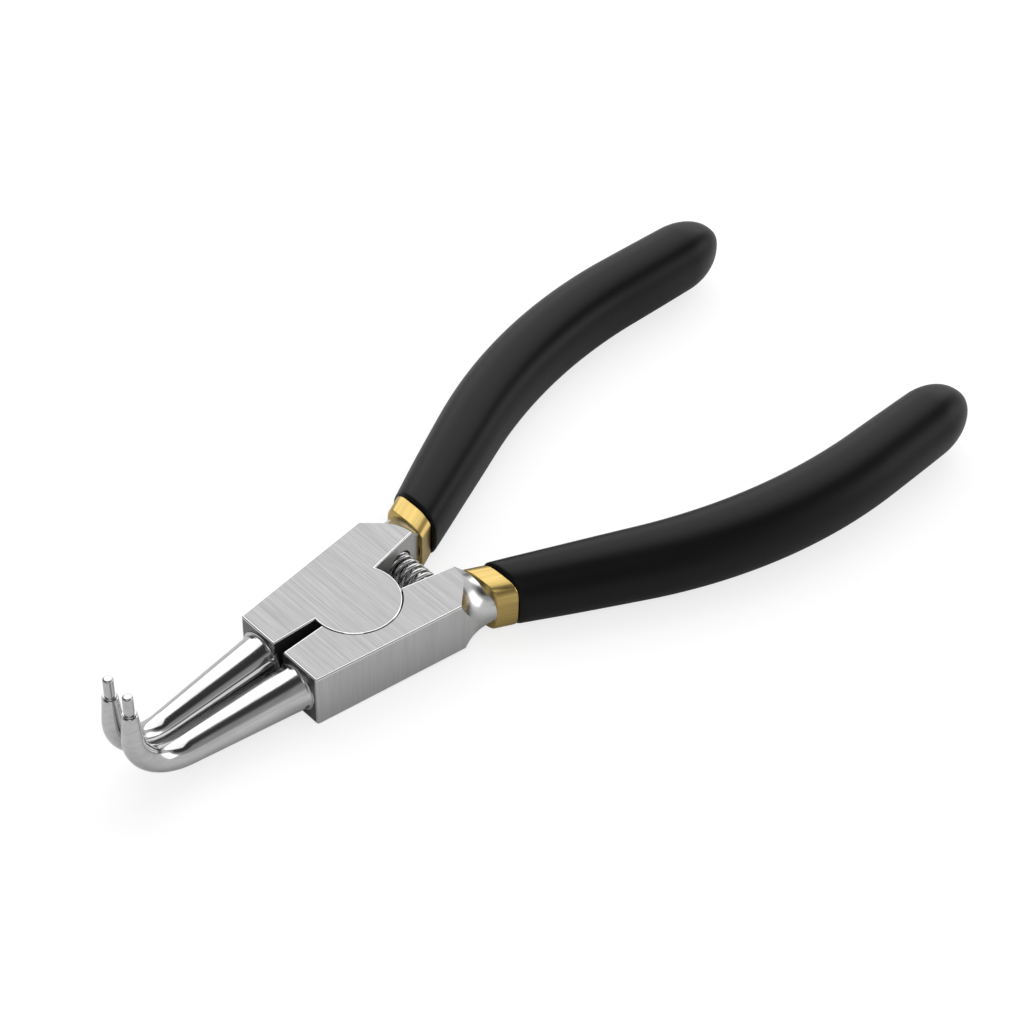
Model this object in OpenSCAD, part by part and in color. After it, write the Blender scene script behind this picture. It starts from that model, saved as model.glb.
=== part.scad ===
// External circlip pliers with tips bent up by 90 degrees, drawn closed, as they lie at rest.
// The rivet's axis is Z and the underside of the block is z = 0. The noses point to -X, the handles to +X.
// The right half lies on +Y. The halves don't cross, so squeezing the handles spreads the tips.

/* [Block] */
// Thickness of the block
block_t = 11.2; // [9:0.1:14]
// Distance of the front face from the rivet's axis
front_len = 17; // [14:0.5:22]
// Half width of the block at its front face
front_half_w = 9.9; // [9:0.1:12]
// Angle at which each outer side widens towards the handles
side_angle = 7.3; // [4:0.1:9]
// Width of the slot between the noses, at the front face
slot_front = 2.5; // [1.5:0.1:3.2]
// Width of the slot where it meets the lap disc
slot_rear = 1.8; // [1.2:0.1:2.4]
// Width between the shoulders where they meet the lap disc
shoulder_gap = 6.5; // [5:0.1:8]
// Angle of each shoulder to the length of the pliers
shoulder_angle = 11.8; // [9:0.1:14]
// Width of the bevel along the block's edges
edge_bevel = 0.3; // [0.1:0.05:0.6]

/* [Lap joint] */
// Radius of the two half-thickness discs that lap each other
disc_r = 8.1; // [7:0.1:8.8]
// Gap between a disc's rim and the recess it turns in
disc_gap = 0.25; // [0.15:0.05:0.5]
// Gap between the flat faces of the two discs
lap_gap = 0.06; // [0.02:0.01:0.2]
// Diameter of the rivet's shank
rivet_d = 5; // [3.5:0.1:6]
// Diameter of the rivet's countersunk head on the underside
rivet_head_d = 8; // [6.5:0.1:10]
// Radial running clearance of the rivet in the left half
rivet_run = 0.04; // [0.02:0.01:0.1]
// Radial fit of the rivet in the right half, where it is pressed in
rivet_fit = 0.01; // [0.005:0.005:0.02]

/* [Noses] */
// Diameter of a nose cone at the front face
cone_base_d = 8.2; // [7:0.1:9]
// Diameter of a nose cone where its bend begins
cone_end_d = 5.3; // [4:0.1:5.4]
// Radius of the fillet between a nose cone and the front face
cone_fillet = 0.6; // [0.3:0.1:0.8]
// Distance of a cone's axis from the middle of the pliers, at the front face
cone_offset = 4.7; // [4.4:0.1:5.2]
// Distance from the rivet's axis forward to the tip pins
tip_reach = 49; // [44:0.5:60]
// Spacing of the two tip pins at rest
tip_spacing = 5.1; // [4.6:0.1:7]
// Radius of the nose's bend, at its middle line
bend_r = 10; // [8:0.5:12]
// Diameter of the nose where its bend ends
bend_end_d = 3.7; // [3.2:0.1:4.5]
// Diameter of the nose's upturned end
nose_end_d = 2.7; // [2.6:0.1:3.4]
// Height of the upturned end above the block's underside
nose_end_z = 21.4; // [19:0.2:28]

/* [Tip pins] */
// Diameter of a tip pin
pin_d = 1.8; // [1.3:0.1:1.9]
// Length of a tip pin that stands out of the nose
pin_out = 4.3; // [3:0.1:6]
// Length of a tip pin inside the nose
pin_in = 4; // [2.5:0.1:4.5]
// Radius of the rounded edge on a tip pin's top
pin_round = 0.4; // [0.2:0.05:0.6]
// Step from a tip pin to the thicker shank that is pressed into the nose
pin_step = 0.2; // [0.18:0.01:0.22]
// Length of the shank that stands out of the nose
pin_foot = 0.3; // [0.2:0.05:0.5]
// Radial fit of a tip pin's shank in its hole
pin_fit = 0.01; // [0.005:0.005:0.02]

/* [Handles] */
// Distance behind the rivet at which a handle's middle line leaves the block
neck_x = 16.9; // [16:0.1:18]
// Distance of that place from the middle of the pliers
neck_y = 8.3; // [8:0.1:8.6]
// Distance of a handle's middle line below the middle of the block
handle_drop = 1; // [0:0.1:1.2]
// Angle at which a handle leaves the block
handle_angle = 25.5; // [22:0.5:30]
// Length of a handle before it begins to curve
handle_straight = 33.6; // [28:0.2:40]
// Radius of a handle's curve
handle_bend_r = 108; // [80:1:140]
// Angle that a handle's curve turns through
handle_bend = 27; // [22:0.5:32]
// Straight length at the end of a handle
handle_tail = 26.4; // [16:0.2:40]
// Radius of the flare from the neck to the block
neck_flare = 9; // [8.6:0.1:9.4]
// Length of the neck's flare behind the place where the handle leaves the block
neck_len = 6.2; // [6:0.1:6.4]
// Diameter of the round seat behind the neck, which the collar is pressed onto
seat_d = 7.4; // [7:0.1:8.2]
// Step from the seat up to the neck, which the collar is pressed against
neck_step = 0.6; // [0.5:0.05:0.7]
// Step from the seat down to the tang at its sides, so that the collar slides over it
tang_side_step = 0.4; // [0.3:0.05:1]
// Step from the seat down to the tang at its top and bottom
tang_top_step = 0.2; // [0.2:0.05:1]
// Length of solid grip behind the tang's end
tang_stop = 7; // [5:0.5:12]

/* [Collars] */
// Distance along the handle from the place where it leaves the block to the collar's front edge
collar_start = 3.3; // [3:0.1:3.6]
// Length of a collar along the handle
collar_len = 4.1; // [3.6:0.1:6]
// Thickness of a collar at its sides
collar_side_wall = 0.55; // [0.5:0.05:0.9]
// Thickness of a collar at its top and bottom
collar_top_wall = 1.55; // [1.4:0.05:1.8]
// Width of the bevel on a collar's front edge
collar_bevel = 0.25; // [0.1:0.05:0.4]
// Fit of a collar on its seat and against the neck
collar_fit = 0.02; // [0.01:0.01:0.05]

/* [Grips] */
// Step from a collar out to the front edge of the grip behind it, at its sides
grip_side_step = 1; // [0.6:0.05:1.2]
// Step from a collar up to the front edge of the grip behind it, at its top and bottom
grip_top_step = 0.65; // [0.5:0.05:1]
// Width of a grip at its middle
grip_middle_w = 13.2; // [12.5:0.1:15]
// Width of a grip before its rounded end
grip_end_w = 11.9; // [11:0.1:14]
// Height of a grip at its middle
grip_middle_h = 13.6; // [12.5:0.1:15]
// Height of a grip before its rounded end
grip_end_h = 13.5; // [12:0.1:15]
// Length of a grip's rounded end
grip_round = 10.4; // [6:0.2:11]
// Radius of the soft lip on a grip's front edge
grip_lip = 0.8; // [0.4:0.1:1.2]
// Gap between a grip and the tang or collar that it sits on
grip_fit = 0.1; // [0.05:0.01:0.2]

/* [Spring] */
// Distance of the spring's axis behind the rivet
spring_x = 14.2; // [13.8:0.1:14.4]
// Outer diameter of the spring
spring_d = 5.7; // [4.6:0.1:6.2]
// Diameter of the spring's wire
wire_d = 0.9; // [0.6:0.05:1]
// Number of turns, with the closed turn at each end
spring_turns = 8.5; // [6.5:0.5:9]
// Depth of the pocket that seats each end, at the spring's axis
pocket_depth = 1.4; // [1.2:0.1:2]
// Radial clearance of the spring in its pockets
pocket_clear = 0.3; // [0.2:0.05:0.5]
// Gap between the spring's ends and the floors of the pockets
seat_gap = 0.05; // [0.02:0.01:0.2]

/* [Hidden] */

$fn = 96;
mid_z = block_t / 2;
handle_z = mid_z - handle_drop;
overlap = 0.5;
far = 60;
steel = "silver";
brass = "goldenrod";
vinyl = "#1e1e1e";

// Corners of the right half of the block, seen from above
front_slot = [-front_len, slot_front / 2];
front_outer = [-front_len, front_half_w];
shoulder_front = [sqrt(pow(disc_r, 2) - pow(shoulder_gap / 2, 2)), shoulder_gap / 2];
slot_end = [-sqrt(pow(disc_r, 2) - pow(slot_rear / 2, 2)), slot_rear / 2];
function on_side(from, angle, x) = [x, from[1] + (x - from[0]) * tan(angle)];

// The nose lies in one upright plane, turned so that it ends over the tip pin
tip_y = tip_spacing / 2;
nose_turn = atan2(cone_offset - tip_y, tip_reach - front_len);
nose_len = norm([tip_reach - front_len, cone_offset - tip_y]);
cone_len = nose_len - bend_r;
shank_d = pin_d + 2 * pin_step;
bend_steps = 12;
nose_sides = 32;

// The handle's middle line is measured from the place where it leaves the block
curve_stop = handle_straight + handle_bend_r * handle_bend * PI / 180;
handle_len = curve_stop + handle_tail;
collar_end = collar_start + collar_len;
grip_start = collar_end + grip_fit;
neck_d = seat_d + 2 * neck_step;
tang_w = seat_d - 2 * tang_side_step;
tang_h = seat_d - 2 * tang_top_step;
collar_w = seat_d + 2 * collar_side_wall;
collar_h = seat_d + 2 * collar_top_wall;
grip_front_w = collar_w + 2 * grip_side_step;
grip_front_h = collar_h + 2 * grip_top_step;
tang_start = collar_start + collar_len / 2;
tang_end = handle_len - tang_stop;
tang_round = 4;
tang_cap_angle = 25;
grip_cap_angle = 84;
lip_angle = 45;
handle_sides = 28;
grip_steps = 20;
tang_steps = 16;
round_steps = 7;

// Both edges of a collar and the front edge of a grip lie square to the pliers' length, not to the handle
edge_skew = handle_angle;
skew_fade = 14;
collar_x = neck_x + collar_start * cos(handle_angle);
collar_run = collar_len * cos(handle_angle);
neck_end_x = collar_x - collar_fit;
seat_root = 0.05;

// Flatness of the collar's and the grip's sections: 2 is an ellipse, more is squarer
collar_outside = 2.3;
collar_inside = 2;
grip_outside = 2.1;
grip_inside = 2.5;
// How much wider the oval on a collar's inner side is than the outer one, before it is cut flat
collar_bulge = 1.3;

// The rivet's head is a cone that fills the countersink
head_depth = (rivet_head_d - rivet_d) / 2;
// The gap that leaves the running clearance between the two cones, measured across their 45 degree sides
head_gap = rivet_run * sqrt(2);

// The spring lies along Y between the floors of its two pockets
shoulder_y = shoulder_front[1] + (spring_x - shoulder_front[0]) * tan(shoulder_angle);
pocket_y = shoulder_y + pocket_depth;
coil_r = (spring_d - wire_d) / 2;
coil_half = pocket_y - seat_gap - wire_d / 2;
wire_sides = 8;
turn_steps = 16;

// Handle's middle line in plan, as [x, y, heading] at a distance s along it
function straight_on(at, run) = [at[0] + run * cos(at[2]), at[1] + run * sin(at[2]), at[2]];
function curved_on(at, angle) =
    [at[0] + handle_bend_r * (sin(at[2]) - sin(at[2] - angle)),
     at[1] + handle_bend_r * (cos(at[2] - angle) - cos(at[2])),
     at[2] - angle];
neck = [neck_x, neck_y, handle_angle];
curve_start = straight_on(neck, handle_straight);
curve_end = curved_on(curve_start, handle_bend);
function handle_at(s) =
    s <= handle_straight ? straight_on(neck, s)
    : s <= curve_stop ? curved_on(curve_start, (s - handle_straight) / handle_bend_r * 180 / PI)
    : straight_on(curve_end, s - curve_stop);

// Section across the handle, with its own flatness on the outer and the inner side, turned in plan by skew
// With a bulge above 1 the inner side is a wider oval, cut flat at the half width
function flat_power(x, n) = sign(x) * pow(abs(x), 2 / n);
function section_ring(s, half_w, half_h, outside, inside, sides, skew = 0, bulge = 1) =
    let (at = handle_at(s), ahead = [cos(at[2]), sin(at[2])], across = [-sin(at[2]), cos(at[2])])
    [for (k = [0:sides - 1])
        let (a = 360 * k / sides, n = cos(a) >= 0 ? outside : inside, reach = cos(a) >= 0 ? 1 : bulge,
             off = max(-half_w, half_w * reach * flat_power(cos(a), n)),
             plan = [at[0], at[1]] + off * across + off * tan(skew) * ahead)
        [plan[0], plan[1], handle_z + half_h * flat_power(sin(a), n)]];

// Value that runs from first through middle to last as u runs from 0 to 1
function swell(first, middle, last, u) =
    let (pull = 2 * middle - (first + last) / 2)
    first * pow(1 - u, 2) + 2 * pull * u * (1 - u) + last * pow(u, 2);
function ease(u) = let (v = min(1, max(0, u))) v * v * (3 - 2 * v);

// Rings of the tang, or of the hollow that leaves a gap of grow around it, from start to its rounded end
function tang_ring(s, scale_by, grow, skew = 0) =
    section_ring(s, tang_w / 2 * scale_by + grow, tang_h / 2 * scale_by + grow, 2, 2, handle_sides, skew);
function tang_rings(start, grow, skew) =
    let (last = tang_end - tang_round)
    concat([tang_ring(start, 1, grow, skew)],
           [for (k = [1:tang_steps]) tang_ring(start + (last - start) * k / tang_steps, 1, grow)],
           [for (a = [tang_cap_angle:tang_cap_angle:89])
               tang_ring(last + (tang_round + grow) * sin(a), cos(a), grow)]);

// Rings of the grip's outside, from its soft lip to its rounded end
function grip_ring(s, scale_by, inset) =
    let (u = (s - grip_start) / (handle_len - grip_start))
    section_ring(s, swell(grip_front_w, grip_middle_w, grip_end_w, u) / 2 * scale_by - inset,
                 swell(grip_front_h, grip_middle_h, grip_end_h, u) / 2 * scale_by - inset,
                 grip_outside, grip_inside, handle_sides,
                 edge_skew * (1 - ease((s - grip_start) / skew_fade)));
function grip_rings() =
    let (first = grip_start + grip_lip, last = handle_len - grip_round)
    concat([for (a = [0, lip_angle]) grip_ring(first - grip_lip * cos(a), 1, grip_lip * (1 - sin(a)))],
           [for (k = [0:grip_steps]) grip_ring(first + (last - first) * k / grip_steps, 1, 0)],
           [for (k = [1:round_steps]) let (a = grip_cap_angle * k / round_steps)
               grip_ring(last + grip_round * sin(a), cos(a), 0)]);

// Skin through a row of rings that all have the same number of points
module skin(rings) {
    sides = len(rings[0]);
    last = len(rings) - 1;
    sleeve = [for (i = [0:last - 1], k = [0:sides - 1])
        let (a = i * sides + k, b = i * sides + (k + 1) % sides)
        each [[a, a + sides, b], [b, a + sides, b + sides]]];
    ends = [[for (k = [0:sides - 1]) k], [for (k = [sides - 1:-1:0]) last * sides + k]];
    polyhedron([for (r = rings) each r], concat(sleeve, ends));
}

// Stands a shape, drawn along Z, on the handle's middle line at a distance s from the block
module along_handle(s) {
    at = handle_at(s);
    translate([at[0], at[1], handle_z]) rotate([0, 0, at[2]]) rotate([0, 90, 0]) children();
}

// Bevel along one top or bottom edge of the block, from a to b in plan
module bevel_cut(a, b, z) {
    run = b - a;
    translate([a[0], a[1], z]) rotate([0, 0, atan2(run[1], run[0])]) rotate([z > 0 ? 45 : -45, 0, 0])
        translate([-overlap, -edge_bevel / sqrt(2), -overlap])
            cube([norm(run) + 2 * overlap, 2 * overlap, 2 * overlap]);
}

// Turned shape of the rear of the block: wide ahead of the flare, then round down to the neck
module turned_neck() {
    along_handle(0) rotate_extrude() {
        translate([0, -far]) square([far, far + neck_len - neck_flare]);
        difference() {
            translate([0, neck_len - neck_flare - overlap])
                square([neck_d / 2 + neck_flare, neck_flare + overlap]);
            translate([neck_d / 2 + neck_flare, neck_len]) circle(r = neck_flare);
        }
    }
}

// Block and neck of one half, with bevelled edges, before the lap joint is cut
module block() {
    rear_outer = on_side(front_outer, side_angle, neck_end_x);
    rear_inner = on_side(shoulder_front, shoulder_angle, neck_end_x);
    intersection() {
        difference() {
            linear_extrude(block_t)
                polygon([front_slot, front_outer, rear_outer, rear_inner, shoulder_front, slot_end]);
            for (z = [0, block_t]) {
                bevel_cut(front_slot, front_outer, z);
                bevel_cut(front_outer, rear_outer, z);
            }
        }
        turned_neck();
    }
}

// Round seat for the collar, cut off level with the collar's edges
module seat() {
    intersection() {
        along_handle(-far / 2) cylinder(h = far, d = seat_d);
        translate([neck_end_x - seat_root, 0, -far / 2])
            cube([collar_run + collar_fit + seat_root, far, far]);
    }
}

// Rings along one nose, from inside the block through the cone and the bend to the upturned end
function nose_ring(x, z, lean, d) =
    [for (k = [0:nose_sides - 1])
        let (b = 360 * k / nose_sides, off = d / 2 * cos(b))
        [x - off * sin(lean), -d / 2 * sin(b), z + off * cos(lean)]];
function nose_rings() =
    concat([nose_ring(-overlap, 0, 0, cone_base_d)],
           [for (i = [0:bend_steps])
               let (a = 90 * i / bend_steps, d = cone_end_d + (bend_end_d - cone_end_d) * i / bend_steps)
               nose_ring(cone_len + bend_r * sin(a), bend_r * (1 - cos(a)), a, d)],
           [nose_ring(nose_len, nose_end_z - mid_z, 90, nose_end_d)]);

// Cone, bend and upturned end of one nose, with the hole for its pin
module nose() {
    translate([-front_len, cone_offset, mid_z]) rotate([0, 0, 180 + nose_turn]) difference() {
        skin(nose_rings());
        translate([nose_len, 0, nose_end_z - mid_z - pin_in])
            cylinder(h = pin_in + overlap, d = shank_d + 2 * pin_fit);
    }
}

// Fillet between the front face and the foot of a cone, trimmed where the slot begins
module cone_foot() {
    intersection() {
        translate([-front_len, cone_offset, mid_z]) rotate([0, -90, 0]) rotate_extrude() difference() {
            translate([0, -overlap]) square([cone_base_d / 2 + cone_fillet, cone_fillet + overlap]);
            translate([cone_base_d / 2 + cone_fillet, cone_fillet]) circle(r = cone_fillet);
        }
        translate([-far, slot_front / 2, 0]) cube([far, far, block_t]);
    }
}

// Tang of one half, which starts inside the collar's seat
module tang() {
    skin(tang_rings(tang_start, 0, 0));
}

// One half of the pliers on +Y, with its lap disc in the layer from disc_z up
module half(disc_z, recess_z) {
    difference() {
        union() {
            difference() {
                union() {
                    block();
                    nose();
                    cone_foot();
                    seat();
                    tang();
                }
                translate([0, 0, recess_z]) cylinder(h = mid_z + overlap, r = disc_r + disc_gap);
            }
            translate([0, 0, disc_z]) cylinder(h = mid_z - lap_gap / 2, r = disc_r);
        }
        translate([spring_x, pocket_y, mid_z]) rotate([90, 0, 0])
            cylinder(h = pocket_y, d = spring_d + 2 * pocket_clear);
        children();
    }
}

module right_half() {
    color(steel) half(mid_z + lap_gap / 2, -overlap)
        translate([0, 0, -overlap]) cylinder(h = block_t + 2 * overlap, d = rivet_d + 2 * rivet_fit);
}

module left_half() {
    color(steel) mirror([0, 1, 0]) half(0, mid_z) {
        translate([0, 0, -overlap]) cylinder(h = block_t + 2 * overlap, d = rivet_d + 2 * rivet_run);
        cylinder(h = head_depth, d1 = rivet_head_d + 2 * head_gap, d2 = rivet_d + 2 * head_gap);
    }
}

module pivot_rivet() {
    color(steel) {
        cylinder(h = block_t, d = rivet_d);
        cylinder(h = head_depth, d1 = rivet_head_d, d2 = rivet_d);
    }
}

// Coil with a closed turn at each end and an even pitch between them
function coil_y(turn) =
    let (open = 2 * coil_half - 2 * wire_d, rest = spring_turns - 2)
    turn < 1 ? -coil_half + wire_d * turn
    : turn > spring_turns - 1 ? coil_half - wire_d * (spring_turns - turn)
    : -coil_half + wire_d + open * (turn - 1) / rest;
module return_spring() {
    steps = spring_turns * turn_steps;
    color("gray") skin([for (i = [0:steps])
        let (turn = i / turn_steps, a = 360 * turn)
        [for (k = [0:wire_sides - 1])
            let (b = -360 * k / wire_sides, r = coil_r + wire_d / 2 * cos(b))
            [spring_x + r * cos(a), coil_y(turn) + wire_d / 2 * sin(b), mid_z + r * sin(a)]]]);
}

module tip_pin() {
    color("gainsboro") translate([-tip_reach, tip_y, nose_end_z - pin_in]) rotate_extrude() {
        square([shank_d / 2, pin_in + pin_foot]);
        square([pin_d / 2, pin_in + pin_out - pin_round]);
        square([pin_d / 2 - pin_round, pin_in + pin_out]);
        intersection() {
            translate([pin_d / 2 - pin_round, pin_in + pin_out - pin_round]) circle(r = pin_round);
            square([pin_d / 2, pin_in + pin_out]);
        }
    }
}

module right_tip_pin() {
    tip_pin();
}

module left_tip_pin() {
    mirror([0, 1, 0]) tip_pin();
}

module collar() {
    color(brass) difference() {
        skin([for (e = [[0, collar_bevel], [collar_bevel, 0], [collar_len, 0]])
            section_ring(collar_start + e[0], collar_w / 2 - e[1], collar_h / 2 - e[1],
                         collar_outside, collar_inside, 2 * handle_sides, edge_skew, collar_bulge)]);
        along_handle(-far / 2) cylinder(h = far, d = seat_d + 2 * collar_fit);
    }
}

module right_collar() {
    collar();
}

module left_collar() {
    mirror([0, 1, 0]) collar();
}

module grip() {
    hollow = tang_rings(grip_start, grip_fit, edge_skew);
    color(vinyl) skin(concat([for (k = [len(hollow) - 1:-1:0]) hollow[k]], grip_rings()));
}

module right_grip() {
    grip();
}

module left_grip() {
    mirror([0, 1, 0]) grip();
}

left_half();
right_half();
pivot_rivet();
return_spring();
left_tip_pin();
right_tip_pin();
left_collar();
right_collar();
left_grip();
right_grip();
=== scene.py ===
from math import atan2, cos, hypot, pi, radians, sin, sqrt, tan

import bmesh
import bpy
from mathutils import Matrix, Vector


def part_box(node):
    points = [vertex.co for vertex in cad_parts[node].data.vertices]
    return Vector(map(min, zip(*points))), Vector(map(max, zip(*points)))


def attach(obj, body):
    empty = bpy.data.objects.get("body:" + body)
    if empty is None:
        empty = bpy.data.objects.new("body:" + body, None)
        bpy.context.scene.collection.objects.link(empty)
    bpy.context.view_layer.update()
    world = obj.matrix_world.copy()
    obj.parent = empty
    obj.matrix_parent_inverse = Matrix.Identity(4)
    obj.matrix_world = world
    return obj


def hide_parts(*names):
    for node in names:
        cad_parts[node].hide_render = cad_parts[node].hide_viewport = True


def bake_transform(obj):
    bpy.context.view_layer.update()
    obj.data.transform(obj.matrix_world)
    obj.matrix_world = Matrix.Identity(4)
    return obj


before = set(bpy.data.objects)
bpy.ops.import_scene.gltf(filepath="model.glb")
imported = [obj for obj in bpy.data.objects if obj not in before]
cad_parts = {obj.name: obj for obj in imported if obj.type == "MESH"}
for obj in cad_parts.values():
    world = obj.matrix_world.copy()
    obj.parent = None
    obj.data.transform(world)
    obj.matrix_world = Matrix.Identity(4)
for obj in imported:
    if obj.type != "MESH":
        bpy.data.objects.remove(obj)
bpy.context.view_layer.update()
scene = bpy.context.scene
scene.view_settings.view_transform = "Standard"

# Blocks. Each half of the pliers is one forging of chrome vanadium steel. Its block is brushed on the flat
# faces and the sides, milled in the slot and turned down to a round neck behind. The two blocks lap each
# other in discs of half the thickness, which turn on the rivet. Its steel carries painted light: the flat
# faces are painted darker and the sides lighter, the front face and the milled slot, recess and pockets
# painted shade, and the rounded edges and the disc's rim a painted highlight.
MM = 0.001
block_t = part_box("pivot_rivet")[1].z
middle_z = block_t / 2
front_x = -17 * MM
front_half_w = 9.9 * MM
side_angle = radians(7.3)
slot_front = 2.5 * MM
slot_rear = 1.8 * MM
shoulder_gap = 6.5 * MM
shoulder_angle = radians(11.8)
disc_r = 8.1 * MM
disc_gap = 0.25 * MM
lap_gap = 0.06 * MM
rivet_hole_r = {"right": 2.503 * MM, "left": 2.54 * MM}
rivet_sink_r = 4.06 * MM
edge_round = 0.3 * MM
edge_segments = 4
corner_round = 0.45 * MM
corner_segments = 6
disc_edge = 0.08 * MM
disc_rim_w = 0.09 * MM
disc_rim_drop = 0.02 * MM
steepest_rim = 0.3
flattest_rim = 0.995
touching = 0.001 * MM
weld = 1e-7
turned_weld = 1e-8
facing = 0.5
sharp_angle = radians(45)
crease = radians(32)
inside_disc = 4 * MM
spring_x = 14.2 * MM
spring_d = 5.7 * MM
pocket_depth = 1.4 * MM
pocket_clear = 0.3 * MM
handle_drop = 1 * MM
handle_z = middle_z - handle_drop
handle_angle = radians(25.5)
neck_at = Vector((16.9 * MM, 8.3 * MM, handle_z))
neck_r = 4.3 * MM
neck_flare = 9 * MM
neck_len = 6.2 * MM
collar_start = 3.3 * MM
collar_fit = 0.02 * MM
neck_end_x = neck_at.x + collar_start * cos(handle_angle) - collar_fit
clear_of_block = 30 * MM
turned_sides = 192
arc_steps = 24
mirror_y = Matrix.Scale(-1, 4, (0, 1, 0))
body_of = {"right": "right_side", "left": "left_side"}
shoulder_at = Vector((sqrt(disc_r**2 - (shoulder_gap / 2) ** 2), shoulder_gap / 2))
slot_end = Vector((-sqrt(disc_r**2 - (slot_rear / 2) ** 2), slot_rear / 2))
spring_seat_y = shoulder_at.y + (spring_x - shoulder_at.x) * tan(shoulder_angle) + pocket_depth


def new_group(name, inputs, outputs):
    group = bpy.data.node_groups.new(name, "ShaderNodeTree")
    for label, kind, value in inputs:
        socket = group.interface.new_socket(label, in_out="INPUT", socket_type=kind)
        socket.default_value = value
    for label, kind in outputs:
        group.interface.new_socket(label, in_out="OUTPUT", socket_type=kind)
    return group, group.nodes.new("NodeGroupInput"), group.nodes.new("NodeGroupOutput")


def brush_lines():
    """Fine parallel scratches of a belt grinder, turned about Z by Turn and drawn out by Grain."""
    group, given, out = new_group(
        "brush lines",
        [
            ("Turn", "NodeSocketFloat", 0),
            ("Grain", "NodeSocketVector", (1, 1, 1)),
            ("Dark", "NodeSocketColor", (0.3, 0.3, 0.3, 1)),
            ("Light", "NodeSocketColor", (0.5, 0.5, 0.5, 1)),
            ("Smoothest", "NodeSocketFloat", 0.25),
            ("Roughest", "NodeSocketFloat", 0.4),
        ],
        [("Colour", "NodeSocketColor"), ("Roughness", "NodeSocketFloat"), ("Height", "NodeSocketFloat")],
    )
    nodes, links = group.nodes, group.links
    place = nodes.new("ShaderNodeTexCoord")
    turn = nodes.new("ShaderNodeVectorRotate")
    turn.rotation_type = "Z_AXIS"
    links.new(place.outputs["Object"], turn.inputs["Vector"])
    links.new(given.outputs["Turn"], turn.inputs["Angle"])
    stretch = nodes.new("ShaderNodeVectorMath")
    stretch.operation = "MULTIPLY"
    links.new(turn.outputs["Vector"], stretch.inputs[0])
    links.new(given.outputs["Grain"], stretch.inputs[1])
    fine = nodes.new("ShaderNodeTexNoise")
    fine.inputs["Scale"].default_value = 1
    fine.inputs["Detail"].default_value = 5
    fine.inputs["Roughness"].default_value = 0.7
    links.new(stretch.outputs[0], fine.inputs["Vector"])
    broad = nodes.new("ShaderNodeTexNoise")
    broad.inputs["Scale"].default_value = 0.13
    broad.inputs["Detail"].default_value = 2
    links.new(stretch.outputs[0], broad.inputs["Vector"])
    both = nodes.new("ShaderNodeMath")
    both.operation = "MULTIPLY_ADD"
    both.inputs[1].default_value = 0.1
    links.new(broad.outputs["Fac"], both.inputs[0])
    links.new(fine.outputs["Fac"], both.inputs[2])
    spread = nodes.new("ShaderNodeMapRange")
    spread.inputs["From Min"].default_value = 0.34
    spread.inputs["From Max"].default_value = 0.76
    links.new(both.outputs[0], spread.inputs["Value"])
    tone = nodes.new("ShaderNodeMix")
    tone.data_type = "RGBA"
    links.new(spread.outputs["Result"], tone.inputs["Factor"])
    links.new(given.outputs["Dark"], tone.inputs["A"])
    links.new(given.outputs["Light"], tone.inputs["B"])
    polish = nodes.new("ShaderNodeMapRange")
    links.new(spread.outputs["Result"], polish.inputs["Value"])
    links.new(given.outputs["Roughest"], polish.inputs["To Min"])
    links.new(given.outputs["Smoothest"], polish.inputs["To Max"])
    links.new(tone.outputs["Result"], out.inputs["Colour"])
    links.new(polish.outputs["Result"], out.inputs["Roughness"])
    links.new(spread.outputs["Result"], out.inputs["Height"])
    return group


brush_group = brush_lines()


def new_material(name, **constants):
    material = bpy.data.materials.new(name)
    material.use_nodes = True
    shader = material.node_tree.nodes["Principled BSDF"]
    for label, value in constants.items():
        shader.inputs[label.replace("_", " ")].default_value = value
    return material, material.node_tree.nodes, material.node_tree.links, shader


def brushed(name, grain, tones, roughness, depth, turn=0):
    """Metal with brush lines between two tones and two roughnesses, and of a depth in metres."""
    material, nodes, links, shader = new_material(name, Metallic=1.0)
    lines = nodes.new("ShaderNodeGroup")
    lines.node_tree = brush_group
    lines.inputs["Turn"].default_value = turn
    lines.inputs["Grain"].default_value = grain
    lines.inputs["Dark"].default_value = (*tones[0], 1)
    lines.inputs["Light"].default_value = (*tones[1], 1)
    lines.inputs["Smoothest"].default_value = roughness[0]
    lines.inputs["Roughest"].default_value = roughness[1]
    links.new(lines.outputs["Colour"], shader.inputs["Base Color"])
    links.new(lines.outputs["Roughness"], shader.inputs["Roughness"])
    bump = nodes.new("ShaderNodeBump")
    bump.inputs["Strength"].default_value = 1
    bump.inputs["Distance"].default_value = depth
    links.new(lines.outputs["Height"], bump.inputs["Height"])
    links.new(bump.outputs["Normal"], shader.inputs["Normal"])
    return material


def greys(dark, light):
    return (dark, dark, dark), (light, light, light)


# The flat faces' steel, painted darker than the sides: painted shade.
face_painted_darker = brushed(
    "brushed face painted darker", grain=(3600, 70, 70), tones=greys(0.27, 0.38), roughness=(0.3, 0.4), depth=8e-7
)
# The sides' steel, painted lighter than the flat faces: painted light.
side_painted_lighter = brushed(
    "brushed side painted lighter", grain=(2600, 2600, 60), tones=greys(0.5, 0.6), roughness=(0.3, 0.4), depth=8e-7
)
# The rounded edges' steel, painted far lighter: a painted highlight along the edges.
edge_painted_highlight = brushed(
    "edge painted highlight", grain=(900, 900, 900), tones=greys(0.72, 0.82), roughness=(0.06, 0.1), depth=1e-7
)
# The slot walls, recess, pocket and rivet hole: a rough milled finish in a dark tone, which is painted
# shade.
milled_painted_shade = brushed(
    "milled steel painted shade", grain=(900, 900, 900), tones=greys(0.14, 0.19), roughness=(0.45, 0.55), depth=1e-6
)
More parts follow.
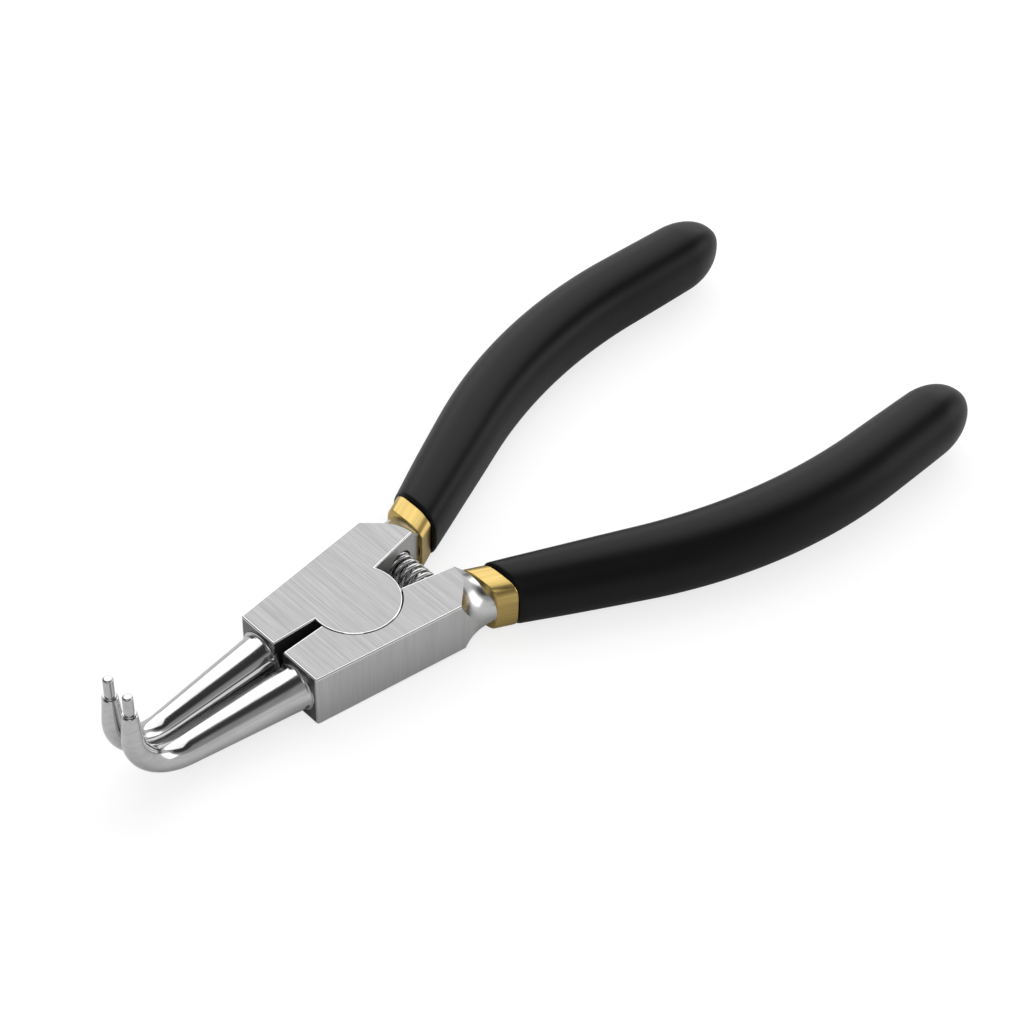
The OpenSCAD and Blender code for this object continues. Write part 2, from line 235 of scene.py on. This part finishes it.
# The ground front face, painted dark: painted shade.
front_painted_shade = brushed(
    "ground front painted shade", grain=(70, 1800, 1800), tones=greys(0.12, 0.17), roughness=(0.25, 0.35), depth=8e-7
)
turned_steel = brushed(
    "turned steel", grain=(160, 160, 160), tones=greys(0.6, 0.66), roughness=(0.18, 0.24), depth=1e-7
)
# One steel in lit and shaded copies, chosen by the way each face lies: its brush lines and roughnesses are
# its own.
block_finishes_and_painted_light = (face_painted_darker, side_painted_lighter, edge_painted_highlight, milled_painted_shade, front_painted_shade)
DARKER_FACE, LIGHTER_SIDE, HIGHLIGHT_EDGE, SHADED_MILLED, SHADED_FRONT = range(len(block_finishes_and_painted_light))


def add_piece(name, bm, *materials):
    bmesh.ops.remove_doubles(bm, verts=bm.verts, dist=weld)
    bmesh.ops.recalc_face_normals(bm, faces=bm.faces)
    mesh = bpy.data.meshes.new(name)
    bm.to_mesh(mesh)
    bm.free()
    for material in materials:
        mesh.materials.append(material)
    piece = bpy.data.objects.new(name, mesh)
    scene.collection.objects.link(piece)
    return piece


def turned(name, profile, matrix, material, sides=turned_sides):
    """Solid of revolution about Z from (radius, height) points, closed unless both ends are on the axis."""
    bm = bmesh.new()
    points = [bm.verts.new((radius, 0, height)) for radius, height in profile]
    on_axis = profile[0][0] == 0 and profile[-1][0] == 0
    edges = [bm.edges.new(pair) for pair in zip(points, points[1:] + ([] if on_axis else points[:1]))]
    bmesh.ops.spin(
        bm,
        geom=points + edges,
        cent=(0, 0, 0),
        axis=(0, 0, 1),
        angle=2 * pi,
        steps=sides,
        use_merge=True,
    )
    bmesh.ops.remove_doubles(bm, verts=bm.verts, dist=turned_weld)
    bmesh.ops.dissolve_degenerate(bm, edges=bm.edges, dist=turned_weld)
    bmesh.ops.transform(bm, matrix=matrix, verts=bm.verts)
    return add_piece(name, bm, material)


def cut(piece, tool, operation):
    change = piece.modifiers.new(operation.lower(), "BOOLEAN")
    change.operation = operation
    change.solver = "EXACT"
    change.material_mode = "TRANSFER"
    change.object = tool
    mesh = bpy.data.meshes.new_from_object(piece.evaluated_get(bpy.context.evaluated_depsgraph_get()))
    piece.modifiers.clear()
    piece.data = mesh
    bpy.data.objects.remove(tool)


def shade_by_angle(piece, angle=crease):
    bm = bmesh.new()
    bm.from_mesh(piece.data)
    for face in bm.faces:
        face.smooth = True
    for edge in bm.edges:
        edge.smooth = len(edge.link_faces) == 2 and edge.calc_face_angle(0) < angle
    bm.to_mesh(piece.data)
    bm.free()


def arc(centre, radius, start, end, steps=arc_steps):
    return [
        (
            centre[0] + radius * cos(start + (end - start) * k / steps),
            centre[1] + radius * sin(start + (end - start) * k / steps),
        )
        for k in range(steps + 1)
    ]


along_handle = (
    Matrix.Translation(neck_at) @ Matrix.Rotation(handle_angle, 4, "Z") @ Matrix.Rotation(pi / 2, 4, "Y")
)
neck_profile = arc((neck_r + neck_flare, neck_len), neck_flare, -pi / 2, -pi)
neck_profile += [(neck_r + clear_of_block, neck_len), (neck_r + clear_of_block, neck_len - neck_flare)]


def round_edges(bm, edges, radius, segments, painted_tone):
    rounds = bmesh.ops.bevel(
        bm,
        geom=edges,
        offset=radius,
        offset_type="OFFSET",
        affect="EDGES",
        segments=segments,
        profile=0.5,
        material=-1,
    )
    for face in rounds["faces"]:
        face.material_index = painted_tone


def block_blank(name):
    """Block of the right half before the lap joint is milled, with its edges rounded."""
    rear_outer_y = front_half_w + (neck_end_x - front_x) * tan(side_angle)
    rear_inner_y = shoulder_at.y + (neck_end_x - shoulder_at.x) * tan(shoulder_angle)
    slot_slope = (slot_end.y - slot_front / 2) / (slot_end.x - front_x)
    outline = [
        (front_x, slot_front / 2),
        (front_x, front_half_w),
        (neck_end_x, rear_outer_y),
        (neck_end_x, rear_inner_y),
        (inside_disc, shoulder_at.y + (inside_disc - shoulder_at.x) * tan(shoulder_angle)),
        (-inside_disc, slot_end.y + (-inside_disc - slot_end.x) * slot_slope),
    ]
    bm = bmesh.new()
    underside = bm.faces.new([bm.verts.new((x, y, 0)) for x, y in outline])
    raised = bmesh.ops.extrude_face_region(bm, geom=[underside])["geom"]
    top = [vert for vert in raised if isinstance(vert, bmesh.types.BMVert)]
    bmesh.ops.translate(bm, vec=(0, 0, block_t), verts=top)
    bmesh.ops.recalc_face_normals(bm, faces=bm.faces)
    # Each face takes its painted tone by the way it faces: flat faces painted darker, sides lighter, the
    # front and the slot walls painted shade.
    for face in bm.faces:
        in_slot = face.normal.y < -facing and face.calc_center_median().x < 0
        upright = SHADED_FRONT if face.normal.x < -facing else SHADED_MILLED if in_slot else LIGHTER_SIDE
        face.material_index = DARKER_FACE if abs(face.normal.z) > facing else upright
    corner = Vector(outline[1])
    at_corner = [
        edge for edge in bm.edges if all((vert.co.xy - corner).length < touching for vert in edge.verts)
    ]
    round_edges(bm, at_corner, corner_round, corner_segments, LIGHTER_SIDE)
    sharp = []
    for edge in bm.edges:
        mid = (edge.verts[0].co + edge.verts[1].co) / 2
        hidden = mid.x > neck_end_x - touching or abs(mid.x) < touching
        upright = abs(edge.verts[0].co.z - edge.verts[1].co.z) > touching
        at_front = mid.x < front_x + touching
        if edge.calc_face_angle(0) > sharp_angle and not hidden and (at_front or not upright):
            sharp.append(edge)
    # The rounded edges take the painted highlight.
    round_edges(bm, sharp, edge_round, edge_segments, HIGHLIGHT_EDGE)
    return add_piece(name, bm, *block_finishes_and_painted_light)


for side, disc_on_top in (("right", True), ("left", False)):
    block = block_blank(side + "_block")
    cut(block, turned("neck tool", neck_profile, along_handle, turned_steel), "DIFFERENCE")
    recess_r = disc_r + disc_gap
    upper, lower = middle_z + lap_gap / 2, middle_z - lap_gap / 2
    if disc_on_top:
        recess = [(0, middle_z), (recess_r, middle_z), (recess_r, -block_t), (0, -block_t)]
        rim_z = block_t - disc_rim_drop
        disc = [(0, upper), (disc_r, upper), (disc_r, rim_z - disc_edge), (disc_r - disc_edge, rim_z)]
        disc += [(disc_r - disc_edge - disc_rim_w, block_t), (0, block_t)]
    else:
        recess = [(0, middle_z), (recess_r, middle_z), (recess_r, 2 * block_t), (0, 2 * block_t)]
        disc = [(0, lower), (disc_r, lower), (disc_r, disc_edge), (disc_r - disc_edge, 0), (0, 0)]
    # The recess, the pocket and the rivet hole are cut in the milled steel's painted shade.
    cut(block, turned("recess tool", recess, Matrix.Identity(4), milled_painted_shade), "DIFFERENCE")
    cut(block, turned("disc", disc, Matrix.Identity(4), face_painted_darker), "UNION")
    # The sloped faces of the disc's top rim take the painted highlight.
    for face in block.data.polygons:
        on_rim = disc_r - disc_edge - disc_rim_w < face.center.xy.length < disc_r
        at_top = face.center.z > block_t - disc_edge - disc_rim_drop
        if on_rim and at_top and steepest_rim < face.normal.z < flattest_rim:
            face.material_index = HIGHLIGHT_EDGE
    pocket_r = spring_d / 2 + pocket_clear
    lying = Matrix.Translation((spring_x, 0, middle_z)) @ Matrix.Rotation(-pi / 2, 4, "X")
    pocket = [(0, -spring_seat_y), (pocket_r, -spring_seat_y), (pocket_r, spring_seat_y), (0, spring_seat_y)]
    cut(block, turned("pocket tool", pocket, lying, milled_painted_shade), "DIFFERENCE")
    hole_r = rivet_hole_r[side]
    hole = [(0, -block_t), (hole_r, -block_t), (hole_r, 2 * block_t), (0, 2 * block_t)]
    if not disc_on_top:
        hole[1:2] = [(rivet_sink_r, -block_t), (rivet_sink_r, 0), (hole_r, rivet_sink_r - hole_r)]
    cut(block, turned("rivet hole tool", hole, Matrix.Identity(4), milled_painted_shade), "DIFFERENCE")
    if side == "left":
        block.data.transform(mirror_y)
        block.data.flip_normals()
    shade_by_angle(block)
    block.modifiers.new("flat faces", "WEIGHTED_NORMAL").keep_sharp = True
    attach(block, body_of[side])
    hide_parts(side + "_half")

# Noses. Each one is forged with its half: a round cone, polished lengthwise, bent up by a right angle and
# bored at its end for the tip pin. A small fillet joins its foot to the block.
cone_base_r = 4.1 * MM
cone_end_r = 2.65 * MM
cone_fillet = 0.45 * MM
cone_y = 4.7 * MM
tip_x = -49 * MM
tip_y = 2.55 * MM
bend_r = 10 * MM
bend_end_r = 1.85 * MM
nose_end_r = 1.35 * MM
nose_end_z = 21.4 * MM
nose_rim = 0.1 * MM
socket_r = 1.11 * MM
socket_mouth = 0.05 * MM
nose_root = 0.3 * MM
nose_sides = 96
bend_steps = 40
cone_steps = 12
fillet_steps = 8
nose_len = hypot(tip_x - front_x, cone_y - tip_y)
cone_len = nose_len - bend_r
nose_turn = atan2(cone_y - tip_y, front_x - tip_x)
polished_steel = brushed(
    "polished steel", grain=(40, 900, 900), tones=greys(0.5, 0.64), roughness=(0.1, 0.16), depth=1e-7
)


def loft(bm, rings):
    """Skin through rings that all have the same number of points."""
    loops = []
    for ring in rings:
        verts = bmesh.ops.create_circle(bm, cap_ends=False, radius=1, segments=len(ring))["verts"]
        for vert, point in zip(verts, ring):
            vert.co = point
        loops.append([bm.edges.get(pair) for pair in zip(verts, verts[1:] + verts[:1])])
    for first, second in zip(loops, loops[1:]):
        bmesh.ops.bridge_loops(bm, edges=first + second)
    return loops


def nose_ring(along, height, lean, radius):
    turn = Matrix.Translation((front_x, cone_y, middle_z)) @ Matrix.Rotation(pi + nose_turn, 4, "Z")
    return [
        turn
        @ Vector(
            (
                along - radius * cos(2 * pi * k / nose_sides) * sin(lean),
                -radius * sin(2 * pi * k / nose_sides),
                height + radius * cos(2 * pi * k / nose_sides) * cos(lean),
            )
        )
        for k in range(nose_sides)
    ]


for side in ("right", "left"):
    slope = (cone_end_r - cone_base_r) / cone_len
    rings = [nose_ring(-nose_root, 0, 0, cone_base_r + cone_fillet)]
    for k in range(fillet_steps + 1):
        angle = pi / 2 * k / fillet_steps
        foot_r = cone_base_r + cone_fillet * (1 - sin(angle))
        rings.append(nose_ring(cone_fillet * (1 - cos(angle)), 0, 0, foot_r))
    for k in range(1, cone_steps + 1):
        along = cone_fillet + (cone_len - cone_fillet) * k / cone_steps
        rings.append(nose_ring(along, 0, 0, cone_base_r + slope * along))
    for k in range(1, bend_steps + 1):
        lean = pi / 2 * k / bend_steps
        radius = cone_end_r + (bend_end_r - cone_end_r) * k / bend_steps
        rings.append(nose_ring(cone_len + bend_r * sin(lean), bend_r * (1 - cos(lean)), lean, radius))
    top = nose_end_z - middle_z
    for drop, radius in (
        (nose_rim, nose_end_r),
        (0, nose_end_r - nose_rim),
        (0, socket_r + socket_mouth),
        (2 * socket_mouth, socket_r),
        (bend_end_r, socket_r),
    ):
        rings.append(nose_ring(nose_len, top - drop, pi / 2, radius))
    bm = bmesh.new()
    loops = loft(bm, rings)
    for loop in (loops[0], loops[-1]):
        bmesh.ops.contextual_create(bm, geom=loop)
    if side == "left":
        bmesh.ops.transform(bm, matrix=mirror_y, verts=bm.verts)
    nose = add_piece(side + "_nose", bm, polished_steel)
    shade_by_angle(nose)
    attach(nose, body_of[side])
    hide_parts(side + "_half")

# Tip pins. Each is a short pin of hardened steel wire, pressed into the nose by a thicker shank. Its top is
# rounded over so that it finds the hole in a circlip.
pin_r = 0.9 * MM
pin_round = 0.4 * MM
shank_r = 1.1 * MM
shank_foot = 0.3 * MM
pin_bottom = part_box("right_tip_pin")[0].z
pin_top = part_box("right_tip_pin")[1].z
pin_sides = 64
pin_steps = 10
pin_steel = brushed(
    "pin steel", grain=(600, 600, 600), tones=greys(0.5, 0.6), roughness=(0.16, 0.24), depth=3e-7
)
for side, sign in (("right", 1), ("left", -1)):
    profile = [(0, pin_bottom), (shank_r, pin_bottom), (shank_r, nose_end_z + shank_foot)]
    profile += [(pin_r, nose_end_z + shank_foot)]
    profile += arc((pin_r - pin_round, pin_top - pin_round), pin_round, 0, pi / 2, pin_steps)
    profile += [(0, pin_top)]
    pin = turned(side + "_pin", profile, Matrix.Translation((tip_x, sign * tip_y, 0)), pin_steel, pin_sides)
    shade_by_angle(pin)
    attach(pin, body_of[side])
    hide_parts(side + "_tip_pin")

# Rivet. A steel rivet with a countersunk head on the underside. Its top is ground off level with the disc
# and brushed with it, so that hardly a line shows.
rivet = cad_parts["pivot_rivet"]
rivet.data.materials.clear()
# Its top takes the flat faces' painted-darker tone.
rivet.data.materials.append(face_painted_darker)

# Spring. A coil of hard drawn wire, closed at both ends, that lies in two pockets between the shoulders and
# pushes the handles apart. In use it is squeezed between the halves as they turn; here it is modelled at
# rest and follows neither half.
wire_d = 0.9 * MM
spring_turns = 8.5
seat_gap = 0.05 * MM
coil_r = (spring_d - wire_d) / 2
coil_half = spring_seat_y - seat_gap - wire_d / 2
wire_sides = 16
steps_a_turn = 48
wire_crease = radians(50)
end_turns = 1
open_turns = spring_turns - 2 * end_turns
open_pitch = (2 * coil_half - 2 * end_turns * wire_d) / open_turns
spring_steel = brushed(
    "spring steel", grain=(500, 500, 500), tones=greys(0.5, 0.62), roughness=(0.12, 0.2), depth=2e-7
)
bm = bmesh.new()
start = Matrix.Translation((spring_x + coil_r, -coil_half, middle_z))
section = bmesh.ops.create_circle(
    bm, cap_ends=False, radius=wire_d / 2, segments=wire_sides, matrix=start
)
wire = section["verts"] + bm.edges[:]
ends = [bm.edges[:]]
for turns, pitch in ((end_turns, wire_d), (open_turns, open_pitch), (end_turns, wire_d)):
    wound = bmesh.ops.spin(
        bm,
        geom=wire,
        cent=(spring_x, 0, middle_z),
        axis=(0, -1, 0),
        dvec=(0, pitch / steps_a_turn, 0),
        angle=2 * pi * turns,
        steps=round(turns * steps_a_turn),
    )
    wire = wound["geom_last"]
ends.append([edge for edge in wire if isinstance(edge, bmesh.types.BMEdge)])
for loop in ends:
    bmesh.ops.contextual_create(bm, geom=loop)
spring = add_piece("coil_spring", bm, spring_steel)
shade_by_angle(spring, wire_crease)
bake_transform(spring)
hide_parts("return_spring")

# Collars. Brass bands pressed onto round seats behind the necks, flat on the inner side and with rounded
# corners on the outer. They are brushed lengthwise, and their edges lie square to the length of the pliers.
seat_r = 3.72 * MM
collar_len = 4.1 * MM
collar_half_w = 4.25 * MM
collar_half_h = 5.25 * MM
collar_rim = 0.25 * MM
rim_middle = 0.3 * collar_rim
collar_outside = 4
collar_inside = 2.6
collar_bulge = 1.2
round_section = 2
collar_sides = 144
handle_straight = 33.6 * MM
handle_bend_r = 108 * MM
handle_bend = radians(27)
handle_tail = 26.4 * MM
curve_stop = handle_straight + handle_bend_r * handle_bend
handle_len = curve_stop + handle_tail


def handle_at(s):
    """Place and heading of the handle's middle line at a distance s behind the block."""
    run = min(s, handle_straight)
    turn = min(max(s - handle_straight, 0) / handle_bend_r, handle_bend)
    tail = max(s - curve_stop, 0)
    heading = handle_angle - turn
    along_curve = handle_bend_r * (sin(handle_angle) - sin(heading))
    across_curve = handle_bend_r * (cos(heading) - cos(handle_angle))
    return (
        neck_at.x + run * cos(handle_angle) + along_curve + tail * cos(heading),
        neck_at.y + run * sin(handle_angle) + across_curve + tail * sin(heading),
        heading,
    )


def handle_ring(s, half_w, half_h, outside, inside, sides, skew, bulge=1):
    """Section across the handle, turned in plan by skew, with its own flatness outside and inside."""
    x, y, heading = handle_at(s)
    points = []
    for k in range(sides):
        angle = 2 * pi * k / sides
        flatness = 2 / (outside if cos(angle) >= 0 else inside)
        off = max(-half_w, half_w * abs(cos(angle)) ** flatness * (1 if cos(angle) >= 0 else -bulge))
        rise = half_h * abs(sin(angle)) ** flatness * (1 if sin(angle) >= 0 else -1)
        ahead = off * tan(skew)
        points.append(
            Vector(
                (
                    x - off * sin(heading) + ahead * cos(heading),
                    y + off * cos(heading) + ahead * sin(heading),
                    handle_z + rise,
                )
            )
        )
    return points


for side in ("right", "left"):
    along = -handle_angle if side == "right" else handle_angle
    brass = brushed(
        side + " brushed brass",
        grain=(60, 2200, 2200),
        tones=((0.46, 0.33, 0.11), (0.62, 0.45, 0.16)),
        roughness=(0.26, 0.38),
        depth=1e-6,
        turn=along,
    )
    front_bore, rear_bore = (
        handle_ring(s, seat_r, seat_r, round_section, round_section, collar_sides, handle_angle)
        for s in (collar_start, collar_start + collar_len)
    )
    rings = [front_bore]
    for ahead, inset in (
        (0, collar_rim),
        (rim_middle, rim_middle),
        (collar_rim, 0),
        (collar_len - collar_rim, 0),
        (collar_len - rim_middle, rim_middle),
        (collar_len, collar_rim),
    ):
        rings.append(
            handle_ring(
                collar_start + ahead,
                collar_half_w - inset,
                collar_half_h - inset,
                collar_outside,
                collar_inside,
                collar_sides,
                handle_angle,
                collar_bulge,
            )
        )
    rings.append(rear_bore)
    bm = bmesh.new()
    loops = loft(bm, rings)
    bmesh.ops.bridge_loops(bm, edges=loops[0] + loops[-1])
    if side == "left":
        bmesh.ops.transform(bm, matrix=mirror_y, verts=bm.verts)
    collar = add_piece(side + "_band", bm, brass)
    shade_by_angle(collar)
    collar.modifiers.new("flat faces", "WEIGHTED_NORMAL").keep_sharp = True
    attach(collar, body_of[side])
    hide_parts(side + "_collar")

# Grips. The handles are dipped in black vinyl, which cures to a satin skin with a soft front lip and a full
# round end. It has a faint grain and lies thicker where the hand holds it.
grip_gap = 0.1 * MM
grip_start = collar_start + collar_len + grip_gap
grip_front = (5.25 * MM, 5.9 * MM)
grip_middle = (6.6 * MM, 6.8 * MM)
grip_end = (5.95 * MM, 6.75 * MM)
grip_round = 10.4 * MM
grip_lip = 0.8 * MM
grip_outside = 2.1
grip_inside = 2.5
grip_sides = 96
grip_steps = 72
lip_steps = 8
round_steps = 24
grip_crease = radians(40)
skew_fade = 14 * MM


def swell(first, middle, last, u):
    pull = 2 * middle - (first + last) / 2
    return first * (1 - u) ** 2 + 2 * pull * u * (1 - u) + last * u**2


def ease(u):
    v = min(1, max(0, u))
    return v * v * (3 - 2 * v)


def grip_ring(s, scale_by, inset):
    u = (s - grip_start) / (handle_len - grip_start)
    sections = zip(grip_front, grip_middle, grip_end)
    half_w, half_h = (swell(*sizes, u) * scale_by - inset for sizes in sections)
    skew = handle_angle * (1 - ease((s - grip_start) / skew_fade))
    return handle_ring(s, half_w, half_h, grip_outside, grip_inside, grip_sides, skew)


def vinyl():
    material, nodes, links, shader = new_material("black vinyl", Specular_IOR_Level=0.17)
    place = nodes.new("ShaderNodeTexCoord")
    skin = nodes.new("ShaderNodeTexNoise")
    skin.inputs["Scale"].default_value = 900
    skin.inputs["Detail"].default_value = 3
    links.new(place.outputs["Object"], skin.inputs["Vector"])
    wear = nodes.new("ShaderNodeTexNoise")
    wear.inputs["Scale"].default_value = 60
    wear.inputs["Detail"].default_value = 4
    links.new(place.outputs["Object"], wear.inputs["Vector"])
    tone = nodes.new("ShaderNodeMix")
    tone.data_type = "RGBA"
    tone.inputs["A"].default_value = (0.003, 0.003, 0.003, 1)
    tone.inputs["B"].default_value = (0.006, 0.006, 0.006, 1)
    links.new(wear.outputs["Fac"], tone.inputs["Factor"])
    links.new(tone.outputs["Result"], shader.inputs["Base Color"])
    sheen = nodes.new("ShaderNodeMapRange")
    sheen.inputs["To Min"].default_value = 0.34
    sheen.inputs["To Max"].default_value = 0.44
    links.new(wear.outputs["Fac"], sheen.inputs["Value"])
    links.new(sheen.outputs["Result"], shader.inputs["Roughness"])
    bump = nodes.new("ShaderNodeBump")
    bump.inputs["Distance"].default_value = 4e-6
    links.new(skin.outputs["Fac"], bump.inputs["Height"])
    links.new(bump.outputs["Normal"], shader.inputs["Normal"])
    return material


black_vinyl = vinyl()
for side in ("right", "left"):
    first, last = grip_start + grip_lip, handle_len - grip_round
    rings = []
    for k in range(lip_steps):
        angle = pi / 2 * k / lip_steps
        rings.append(grip_ring(first - grip_lip * cos(angle), 1, grip_lip * (1 - sin(angle))))
    rings += [grip_ring(first + (last - first) * k / grip_steps, 1, 0) for k in range(grip_steps + 1)]
    for k in range(1, round_steps):
        angle = pi / 2 * k / round_steps
        rings.append(grip_ring(last + grip_round * sin(angle), cos(angle), 0))
    bm = bmesh.new()
    loops = loft(bm, rings)
    for loop in (loops[0], loops[-1]):
        bmesh.ops.contextual_create(bm, geom=loop)
    if side == "left":
        bmesh.ops.transform(bm, matrix=mirror_y, verts=bm.verts)
    sleeve = add_piece(side + "_sleeve", bm, black_vinyl)
    shade_by_angle(sleeve, grip_crease)
    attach(sleeve, body_of[side])
    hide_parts(side + "_grip")

# Floor. A matt white studio table, which the pliers lie on with their grips and the front edge of the block.
# The camera sees it lifted to white, and polished steel sees it nearly white too. It keeps the shadow.
floor_half = 3
floor_gap = 0.02 * MM
grip_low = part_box("right_grip")[0].z
grip_rest_x = 75 * MM
floor_tilt = atan2(-grip_low, grip_rest_x - front_x)
floor_white = 0.32
floor_lift = 0.75
floor_in_steel = 0.82
bm = bmesh.new()
lie = Matrix.Translation((front_x, 0, -floor_gap)) @ Matrix.Rotation(floor_tilt, 4, "Y")
bmesh.ops.create_grid(bm, x_segments=1, y_segments=1, size=floor_half, matrix=lie)
white, nodes, links, shader = new_material("white table", Roughness=0.9, Specular_IOR_Level=0)
seen = nodes.new("ShaderNodeLightPath")
tone = nodes.new("ShaderNodeMix")
tone.inputs["A"].default_value = floor_white
tone.inputs["B"].default_value = floor_in_steel
links.new(seen.outputs["Is Glossy Ray"], tone.inputs["Factor"])
links.new(tone.outputs["Result"], shader.inputs["Base Color"])
lift = nodes.new("ShaderNodeMath")
lift.operation = "MULTIPLY"
lift.inputs[1].default_value = floor_lift
links.new(seen.outputs["Is Camera Ray"], lift.inputs[0])
shader.inputs["Emission Color"].default_value = (1, 1, 1, 1)
links.new(lift.outputs[0], shader.inputs["Emission Strength"])
table = add_piece("table", bm, white)

# Light. A wide soft box behind and above the pliers, a small low one beside them and a weak one over the
# camera. The room fills the shadows evenly. Polished steel sees it pale at the table and grey above, dim
# behind the camera, and dark at a black flag beside the wide box, which gives it stripes.
room_grey = 0.5
room_tones = ((0, 0.72), (0.3, 0.72), (0.42, 0.4), (0.8, 0.34))
flag_aim = Vector((0.52, -0.24, 0.82)).normalized()
flag_inner = 0.93
flag_outer = 0.86
flag_shade = 0.12
front_dark = -0.05
front_pale = 0.15
front_shade = 0.4
box_distance = 0.9
world = bpy.data.worlds.new("studio")
scene.world = world
world.use_nodes = True
nodes, links = world.node_tree.nodes, world.node_tree.links
seen = nodes.new("ShaderNodeLightPath")
heading = nodes.new("ShaderNodeTexCoord")
axes = nodes.new("ShaderNodeSeparateXYZ")
links.new(heading.outputs["Generated"], axes.inputs[0])
tones = nodes.new("ShaderNodeValToRGB")
links.new(axes.outputs["Z"], tones.inputs["Fac"])
for k, (level, grey) in enumerate(room_tones):
    stop = tones.color_ramp.elements[k] if k < 2 else tones.color_ramp.elements.new(level)
    stop.position = level
    stop.color = (grey, grey, grey, 1)
nearness = nodes.new("ShaderNodeVectorMath")
nearness.operation = "DOT_PRODUCT"
nearness.inputs[1].default_value = flag_aim
links.new(heading.outputs["Generated"], nearness.inputs[0])
tone = tones.outputs["Color"]
for value, dark, pale, shade in (
    (nearness.outputs["Value"], flag_inner, flag_outer, flag_shade),
    (axes.outputs["X"], front_dark, front_pale, front_shade),
):
    fade = nodes.new("ShaderNodeMapRange")
    fade.interpolation_type = "SMOOTHSTEP"
    fade.inputs["From Min"].default_value = dark
    fade.inputs["From Max"].default_value = pale
    fade.inputs["To Min"].default_value = shade
    links.new(value, fade.inputs["Value"])
    darken = nodes.new("ShaderNodeMath")
    darken.operation = "MULTIPLY"
    links.new(tone, darken.inputs[0])
    links.new(fade.outputs["Result"], darken.inputs[1])
    tone = darken.outputs[0]
room = nodes.new("ShaderNodeMix")
room.inputs["A"].default_value = room_grey
links.new(seen.outputs["Is Glossy Ray"], room.inputs["Factor"])
links.new(tone, room.inputs["B"])
backdrop = nodes.new("ShaderNodeMix")
backdrop.inputs["B"].default_value = 1
links.new(seen.outputs["Is Camera Ray"], backdrop.inputs["Factor"])
links.new(room.outputs["Result"], backdrop.inputs["A"])
links.new(backdrop.outputs["Result"], nodes["Background"].inputs["Color"])


def soft_box(name, direction, width, height, radiance):
    lamp = bpy.data.lights.new(name, "AREA")
    lamp.shape = "RECTANGLE"
    lamp.size, lamp.size_y = width, height
    lamp.energy = radiance * pi * width * height
    box = bpy.data.objects.new(name, lamp)
    aim = Vector(direction).normalized()
    turn = aim.to_track_quat("Z", "Y").to_matrix().to_4x4()
    box.matrix_world = Matrix.Translation(aim * box_distance) @ turn
    scene.collection.objects.link(box)


soft_box("back soft box", direction=(0.54, 0.49, 0.68), width=1.26, height=1.12, radiance=1.5)
soft_box("side soft box", direction=(0.81, -0.55, 0.21), width=0.6, height=0.38, radiance=1.4)
soft_box("front soft box", direction=(-0.42, -0.42, 0.8), width=0.55, height=0.45, radiance=0.9)

# Camera. It looks down on the pliers from the side of the noses, as in the picture.
focal_pixels = 2599.5
picture_pixels = 1024
azimuth = radians(-44.587)
elevation = radians(44.965)
roll = radians(1.972)
camera_at = Vector((-194.093, -234.385, 336.231)) * MM
camera = bpy.data.objects.new("camera", bpy.data.cameras.new("camera"))
camera.data.sensor_width = 36
camera.data.lens = focal_pixels / picture_pixels * camera.data.sensor_width
camera.data.clip_start = 0.01
back = Vector((sin(azimuth) * cos(elevation), -cos(azimuth) * cos(elevation), sin(elevation)))
level = Vector((0, 0, 1)).cross(back).normalized()
up = back.cross(level)
right = cos(roll) * level + sin(roll) * up
above = -sin(roll) * level + cos(roll) * up
camera.matrix_world = Matrix.Translation(camera_at) @ Matrix((right, above, back)).transposed().to_4x4()
scene.collection.objects.link(camera)
scene.camera = camera
